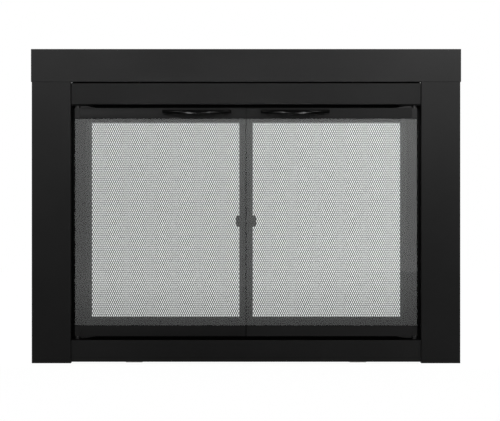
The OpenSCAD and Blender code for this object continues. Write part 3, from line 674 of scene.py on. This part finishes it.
def handle_ring(u, front):
    """Centre, half thickness and half height of a handle where u runs from -1 to 1."""
    toward_end = abs(u) ** HANDLE_CURVE
    centre = Vector((HANDLE_X + u * HANDLE_L / 2,
                     front - HANDLE_STAND - HANDLE_BOW * (1 - u * u),
                     HANDLE_Z + HANDLE_END_RISE * toward_end))
    return centre, HANDLE_HALF_T, HANDLE_HALF_H - HANDLE_END_THIN * toward_end


def flat_share(u):
    """How flat the bar's lower front is, from 0 to 1: two long lens shapes."""
    return max(math.sqrt(max(0, 1 - ((u - middle_u) / half) ** 2)) for middle_u, half in FLATS)


def press_flats(bar, front, along):
    """Presses the two flats into the bar, ring by ring; they face a little downward."""
    def corner(vert, ring, steps):
        """Whether a point of the ring is one of these steps round from its front."""
        centre, half_t, half_h = ring
        turn = math.degrees(math.atan2((vert.co.z - centre.z) / half_h,
                                       (centre.y - vert.co.y) / half_t))
        return abs(vert.co.x - centre.x) < CLOSE and \
            any(abs(turn - 360 / HANDLE_SIDES * step) < HANDLE_TURN_ROOM for step in steps)

    for u in along:
        share = flat_share(u)
        if share > 0:
            ring = handle_ring(u, front)
            for steps, depth in FLAT_CORNERS:
                pick(bar, "verts", lambda v: corner(v, ring, steps))
                move(0, math.cos(FLAT_WAY) * ring[1] * depth * share,
                     -math.sin(FLAT_WAY) * ring[2] * depth * share)


def handle_bar(front):
    """The wavy bar, drawn out ring by ring with rounded ends."""
    along = [i / HANDLE_STEPS * HANDLE_STRAIGHT for i in range(1 - HANDLE_STEPS, HANDLE_STEPS)]
    rings = [(-u, share) for u, share in HANDLE_ENDS] + [(u, 1.0) for u in along] + \
        HANDLE_ENDS[::-1]
    put_down()
    first, size_share = rings[0]
    centre, half_t, half_h = handle_ring(first, front)
    size = (half_t * size_share, half_h * size_share)
    bpy.ops.mesh.primitive_circle_add(vertices=HANDLE_SIDES, radius=1, fill_type="NGON",
                                      rotation=(0, math.pi / 2, 0), location=centre)
    bar = bpy.context.object
    bar.scale = (size[1], size[0], 1)
    settle()
    work_on(bar)
    bpy.ops.mesh.select_mode(type="FACE")
    pick_all()
    for u, share in rings[1:]:
        there, half_t, half_h = handle_ring(u, front)
        bpy.ops.mesh.extrude_region_move(TRANSFORM_OT_translate={"value": there - centre})
        new = (half_t * share, half_h * share)
        bpy.ops.transform.resize(value=(1, new[0] / size[0], new[1] / size[1]),
                                 center_override=there)
        centre, size = there, new
    press_flats(bar, front, along)
    face_outward(bar)
    return bar


def handle_post(front, end):
    """A post with a small foot on the channel."""
    place, _, _ = handle_ring(end * POST_SPREAD, front)
    length = front - place.y
    put_down()
    bpy.ops.mesh.primitive_cylinder_add(vertices=POST_SIDES, radius=POST_R, depth=length,
                                        rotation=(math.pi / 2, 0, 0),
                                        location=(place.x, front - length / 2, place.z))
    post = bpy.context.object
    settle()
    work_on_all(post)
    bpy.ops.mesh.bisect(plane_co=(0, front - FOOT_T, 0), plane_no=(0, 1, 0))
    pick(post, "verts", lambda v: v.co.y > front - FOOT_T - CLOSE)
    bpy.ops.transform.resize(value=(FOOT_SPREAD, 1, FOOT_SPREAD),
                             center_override=(place.x, front, place.z))
    ease(post, EASE)
    return post


def handles(finish):
    """A wavy bar on two posts for each door."""
    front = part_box("right_door_top_channel")[0].y
    bar = handle_bar(front)
    smooth(bar, ROUND_DEGREES)
    piece = join("right_wave_handle", bar, handle_post(front, -1), handle_post(front, 1))
    fit_pair(piece, "right_door", "right_door_handle", finish)


def door_glass(finish):
    """The panes, flat all over, with ground arrises."""
    for side in SIDES:
        node = side + "_door_glass"
        piece = clean_copy(node, node + "_pane")
        use(piece, "BEVEL", width=GLASS_ARRIS, segments=1, limit_method="ANGLE",
            angle_limit=EDGE_TURN)
        pick_up(piece)
        bpy.ops.object.shade_flat()
        fit(piece, side + "_door", node, finish)


# ---- Gates ----

def wire_strand(start, low, high, pitch):
    """One zigzag strand of wire, bent left and right as it climbs."""
    put_down()
    left = Vector((start, MESH_Y - WEAVE_DEPTH, low))
    bpy.ops.mesh.primitive_circle_add(vertices=WIRE_SIDES, radius=1, fill_type="NOTHING",
                                      location=left, rotation=(0, 0, math.pi / WIRE_SIDES))
    strand = bpy.context.object
    strand.scale = (WIRE_HALF_W, WIRE_HALF_T, 1)
    settle()
    strand.name = "strand"
    work_on_all(strand)
    lean = pitch / 2 + WIRE_HALF_W * WIRE_OVERLAP
    for way in (1, -1):
        bpy.ops.mesh.extrude_region_move(TRANSFORM_OT_translate={
            "value": (way * lean, way * 2 * WEAVE_DEPTH, DIAMOND_H / 2)})
    put_down()
    turns = math.ceil((high - low) / DIAMOND_H)
    use(strand, "ARRAY", count=turns, use_relative_offset=False, use_constant_offset=True,
        constant_offset_displace=(0, 0, DIAMOND_H), use_merge_vertices=True,
        merge_threshold=WIRE_MERGE)
    return strand


def woven_net(name, low, high):
    """Fireplace mesh: zigzag strands hooked side by side, trimmed to the gate."""
    pitch = (high.x - low.x - (2 + WIRE_OVERLAP) * WIRE_HALF_W) / DIAMONDS_ACROSS
    halves = []
    for aside, below in ((0, 1), (pitch / 2, 1.5)):
        strands = wire_strand(low.x + WIRE_HALF_W + aside, low.z - DIAMOND_H * below,
                              high.z + DIAMOND_H, pitch)
        use(strands, "ARRAY", count=DIAMONDS_ACROSS, use_relative_offset=False,
            use_constant_offset=True, constant_offset_displace=(pitch, 0, 0))
        work_on(strands)
        for height, way in ((low.z, -1), (high.z, 1)):
            pick_all()
            bpy.ops.mesh.bisect(plane_co=(0, 0, height), plane_no=(0, 0, way), use_fill=True,
                                clear_outer=True)
        face_outward(strands)
        halves.append(strands)
    net = join(name, *halves)
    smooth(net, ROUND_DEGREES)
    return net


def meeting_stiles(finish):
    """The flat bars where the gates meet, drawn out until they all but touch."""
    for side, way in SIDES.items():
        node = side + "_gate_meeting_stile"
        low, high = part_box(node)
        near = min(abs(low.x), abs(high.x))
        piece = clean_copy(node, node + "_bar")
        work_on(piece)
        pick(piece, "verts", lambda v: abs(v.co.x) < near + CLOSE)
        move(way * (MEETING_X - near), 0, 0)
        ease(piece, FINE_EASE)
        fit(piece, side + "_gate", node, finish)


def gate_nets(finish):
    """The wire mesh of both gates."""
    low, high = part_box("right_gate_mesh")
    fit_pair(woven_net("right_woven_net", low, high),
             "right_gate", "right_gate_mesh", finish)


# ---- Clamp screws ----

def thread_ridge(start, end):
    """The ridge of a thread, wound round the y axis from one height to the other."""
    put_down()
    bpy.ops.mesh.primitive_circle_add(vertices=3, radius=1, fill_type="NOTHING",
                                      rotation=(0, 0, -math.pi / 2))
    ridge = bpy.context.object
    ridge.name = "ridge"
    ridge.scale = (THREAD_PITCH * RIDGE_WIDTH, THREAD_DEPTH * RIDGE_HEIGHT, 1)
    settle()
    work_on(ridge)
    crest = max(v.co.x for v in bmesh.from_edit_mesh(ridge.data).verts)
    pick_all()
    move(SHANK_R - crest, start + THREAD_PITCH / 2, 0)
    turns = int((end - start) / THREAD_PITCH) - 1
    use(ridge, "SCREW", axis="Y", angle=math.tau, screw_offset=THREAD_PITCH, iterations=turns,
        steps=THREAD_STEPS, render_steps=THREAD_STEPS, use_normal_calculate=True)
    work_on_all(ridge)
    bpy.ops.mesh.fill_holes(sides=3)
    face_outward(ridge)
    return ridge


def clamp_screws(finish):
    """Hexagon head screws with a foot, their shanks cut with a thread."""
    low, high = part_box("right_clamp_screw")
    axis = (low + high) / 2

    def on_shank(vert):
        return abs(math.hypot(vert.co.x - axis.x, vert.co.z - axis.z) - SHANK_R) < CLOSE

    piece = clean_copy("right_clamp_screw", "clamp_screw_blank")
    ends = [v.co.y for v in piece.data.vertices if on_shank(v)]
    work_on(piece)
    pick(piece, "verts", on_shank)
    core = 1 - THREAD_DEPTH / SHANK_R
    bpy.ops.transform.resize(value=(core, 1, core), center_override=axis)
    ease(piece, EASE)
    ridge = thread_ridge(min(ends) + THREAD_SUNK, max(ends) - THREAD_SHORT)
    work_on_all(ridge)
    move(axis.x, 0, axis.z)
    smooth(ridge)
    piece = join("right_threaded_screw", piece, ridge)
    other = copy_of(piece, "left_threaded_screw")
    work_on_all(other)
    move(-2 * axis.x, 0, 0)
    put_down()
    fit(piece, "right_clamp_screw", "right_clamp_screw", finish)
    fit(other, "left_clamp_screw", "left_clamp_screw", finish)


# ---- Pieces that keep the node's solid, with their corners eased ----

def eased_pieces(finishes):
    """Hardware and bars: (node, body, slot, finish, width of the easing)."""
    rows = [
        ("corner_brackets", "surround", "zinc_steel", "zinc", 0.0006),
        ("corner_bolts", "surround", "zinc_steel", "zinc", 0.0004),
        ("rail_bolts", "surround", "zinc_steel", "zinc", 0.0004),
        ("frame_rivets", "surround", "angle_black", "angle", 0.0005),
        ("upper_hinge_plates", "surround", "hinge_black", "hinge", 0.0004),
        ("lower_hinge_plates", "surround", "hinge_black", "hinge", 0.0004),
        ("hinge_plate_screws", "surround", "hinge_black", "hinge", 0.0002),
        ("pivot_bushes", "surround", "nylon", "nylon", 0.0003),
        ("gate_hinge_lugs", "surround", "angle_black", "angle", 0.0003),
        ("door_catches", "surround", "catch_black", "catch", 0.0006),
        ("gate_stop_plate", "surround", "angle_black", "angle", 0.0004),
        ("gate_magnets", "surround", "magnet", "magnet", 0.0003),
        ("left_lintel_clamp", "surround", "hinge_black", "clamp", 0.0005),
        ("right_lintel_clamp", "surround", "hinge_black", "clamp", 0.0005),
        ("left_floor_bracket", "surround", "zinc_steel", "zinc", 0.0006),
        ("right_floor_bracket", "surround", "zinc_steel", "zinc", 0.0006),
        ("bracket_bolts", "surround", "zinc_steel", "zinc", 0.0004),
    ]
    for side in SIDES:
        door, gate = side + "_door", side + "_gate"
        rows += [
            (door + "_gaskets", door, "gasket", "gasket", 0.0002),
            (door + "_pivot_pins", door, "pin_steel", "pin", 0.0004),
            (door + "_handle_screws", door, "zinc_steel", "zinc", 0.0003),
            (gate + "_hinge_stile", gate, "gate_black", "gate", 0.0006),
            (gate + "_rails", gate, "gate_black", "gate", 0.0006),
            (gate + "_pull", gate, "pull_black", "pull", 0.0005),
            (gate + "_pull_screws", gate, "pull_black", "pull", 0.0004),
            (gate + "_pins", gate, "pin_steel", "pin", 0.0003),
        ]
    for node, body, slot, finish, width in rows:
        fit(eased_copy(node, width), body, node, finishes[finish])


# ---- Room, light and camera ----

def worked_out(tree, operation, *values):
    """The output of a math node whose values are numbers or other nodes' outputs."""
    node = tree.nodes.new("ShaderNodeMath")
    node.operation = operation
    for value, socket in zip(values, node.inputs):
        if isinstance(value, (int, float)):
            socket.default_value = value
        else:
            tree.links.new(value, socket)
    return node.outputs[0]


def spread_over(tree, value, start, end, low, high):
    """Turns a range of values into another one, and stops at its ends."""
    node = tree.nodes.new("ShaderNodeMapRange")
    for name, level in (("From Min", start), ("From Max", end), ("To Min", low), ("To Max", high)):
        node.inputs[name].default_value = level
    tree.links.new(value, node.inputs["Value"])
    return node.outputs["Result"]


def parts_of(tree, source, output):
    """X, Y and Z of a vector that a new node of the given kind puts out."""
    parts = tree.nodes.new("ShaderNodeSeparateXYZ")
    tree.links.new(tree.nodes.new(source).outputs[output], parts.inputs["Vector"])
    return parts.outputs


def seen_white(tree):
    """1 for the rays that see the background: straight, mirrored or through glass."""
    rays = tree.nodes.new("ShaderNodeLightPath").outputs
    seen = worked_out(tree, "MAXIMUM", rays["Is Camera Ray"], rays["Is Glossy Ray"])
    return worked_out(tree, "MAXIMUM", seen, rays["Is Transmission Ray"])


def less_at_left(tree):
    """1 for what is seen straight; through glass, the background gets darker toward the left."""
    toward_eye = parts_of(tree, "ShaderNodeNewGeometry", "Incoming")
    drop = spread_over(tree, toward_eye["X"], *DROP_SPAN, 0, LEFT_DROP)
    through = tree.nodes.new("ShaderNodeLightPath").outputs["Is Transmission Ray"]
    return worked_out(tree, "SUBTRACT", 1, worked_out(tree, "MULTIPLY", through, drop))


def studio_air():
    """White all round where it is seen, and a soft even light on the object.

    What the glass mirrors is brighter toward the top and the right, like a studio wall that
    lamps shine on.
    """
    world = bpy.data.worlds.new("studio_air")
    bpy.context.scene.world = world
    world.use_nodes = True
    tree = world.node_tree
    air = tree.nodes["Background"]
    air.inputs["Color"].default_value = WHITE
    plain = spread_over(tree, seen_white(tree), 0, 1, AIR_LIGHT, 1)
    toward = parts_of(tree, "ShaderNodeTexCoord", "Generated")
    rays = tree.nodes.new("ShaderNodeLightPath").outputs
    on_glass = worked_out(tree, "SUBTRACT", rays["Is Glossy Ray"], rays["Is Transmission Ray"])
    glow = worked_out(tree, "ADD", spread_over(tree, toward["X"], *GLOW_SPAN_X, 0, WALL_GLOW_X),
                      spread_over(tree, toward["Z"], *GLOW_SPAN_Z, 0, WALL_GLOW_Z))
    extra = worked_out(tree, "MULTIPLY", on_glass, glow)
    shaded = worked_out(tree, "MULTIPLY", plain, less_at_left(tree))
    tree.links.new(worked_out(tree, "ADD", shaded, extra), air.inputs["Strength"])


def floor_strength(tree):
    """White to the eye; in the glass and through it, a little darker near the object."""
    depth = spread_over(tree, parts_of(tree, "ShaderNodeTexCoord", "Object")["Y"],
                        -FLOOR / 2, FLOOR / 2, 0, 1)
    shade = tree.nodes.new("ShaderNodeValToRGB")
    stops = shade.color_ramp.elements
    stops[0].color, stops[1].color = WHITE, WHITE
    for y, level in FLOOR_SHADE:
        stops.new(y / FLOOR + 0.5).color = grey(level)
    tree.links.new(depth, shade.inputs["Fac"])
    rays = tree.nodes.new("ShaderNodeLightPath").outputs
    seen = worked_out(tree, "MAXIMUM", rays["Is Camera Ray"], shade.outputs["Color"])
    shaded = worked_out(tree, "MULTIPLY", seen, less_at_left(tree))
    return worked_out(tree, "MULTIPLY", shaded, FLOOR_SHINE)


def white_floor():
    """A plain pale floor that still takes the object's soft shadow."""
    put_down()
    bpy.ops.mesh.primitive_plane_add(size=FLOOR, location=(0, 0, 0))
    floor = bpy.context.object
    floor.name = "studio_floor"
    paint, tree, shader = start_finish("floor_paint")
    shader.inputs["Base Color"].default_value = FLOOR_PAINT
    shader.inputs["Roughness"].default_value = 0.9
    shader.inputs["Specular IOR Level"].default_value = 0.1
    shine = tree.nodes.new("ShaderNodeEmission")
    shine.inputs["Color"].default_value = WHITE
    tree.links.new(floor_strength(tree), shine.inputs["Strength"])
    mix = tree.nodes.new("ShaderNodeMixShader")
    tree.links.new(worked_out(tree, "MULTIPLY", seen_white(tree), FLOOR_WHITE),
                   mix.inputs["Fac"])
    tree.links.new(shader.outputs["BSDF"], mix.inputs[1])
    tree.links.new(shine.outputs["Emission"], mix.inputs[2])
    tree.links.new(mix.outputs["Shader"], tree.nodes["Material Output"].inputs["Surface"])
    floor.data.materials.append(paint)


def softbox(name, place, aim, size, power, spread=180):
    """A soft lamp, (wide, high), at a place and turned to what it lights.

    Neither the camera nor a ray through the glass sees it.
    """
    lamp = bpy.data.lights.new(name, "AREA")
    lamp.shape = "RECTANGLE"
    lamp.size, lamp.size_y = size
    lamp.energy = power
    lamp.spread = math.radians(spread)
    holder = bpy.data.objects.new(name, lamp)
    bpy.context.collection.objects.link(holder)
    holder.location = place
    holder.rotation_euler = (Vector(aim) - Vector(place)).to_track_quat("-Z", "Y").to_euler()
    holder.visible_camera = False
    holder.visible_transmission = False


def lamps():
    """A soft box at each side for the faces, and four long lamps for the handles' streaks."""
    for side, power in (("right", 30.5), ("left", 19.5)):
        way = SIDES[side]
        softbox(side + "_softbox", place=(way * 0.603, LAMP_Y, 1.089),
                aim=(way * 1.223, -0.09, 1.867), size=(0.3, 0.3), power=power)
    for side, way in SIDES.items():
        for part, lamp_x, aim_x, power in (("outer", 0.285, 0.156, 0.047),
                                           ("inner", -0.139, 0.100, 0.075)):
            softbox(f"{side}_{part}_handle_lamp", place=(way * lamp_x, LAMP_Y, 0.216),
                    aim=(way * aim_x, -0.1, 0.640), size=(0.62, 0.035), power=power, spread=18)


def camera():
    """A long lens, square on, 8 m in front of the legs."""
    lens = bpy.data.cameras.new("front_camera")
    lens.sensor_width = FILM_WIDTH
    lens.lens = FILM_WIDTH / (PICTURE_WIDTH / CAMERA_REACH)
    lens.clip_end = 100
    holder = bpy.data.objects.new("front_camera", lens)
    bpy.context.collection.objects.link(holder)
    holder.location = CAMERA_PLACE
    holder.rotation_euler = (math.pi / 2, 0, 0)
    bpy.context.scene.camera = holder


bpy.context.scene.view_settings.view_transform = "Standard"
camera()
studio_air()
white_floor()
lamps()

finishes = all_finishes()
surround(finishes)
side_angles(finishes["angle"])
strips(finishes["angle"])
channels(finishes["channel_top"], finishes["channel_bottom"])
pivot_blocks(finishes["block"])
handles(finishes["handle"])
door_glass(finishes["glass"])
meeting_stiles(finishes["gate"])
gate_nets(finishes["mesh"])
clamp_screws(finishes["zinc"])
eased_pieces(finishes)
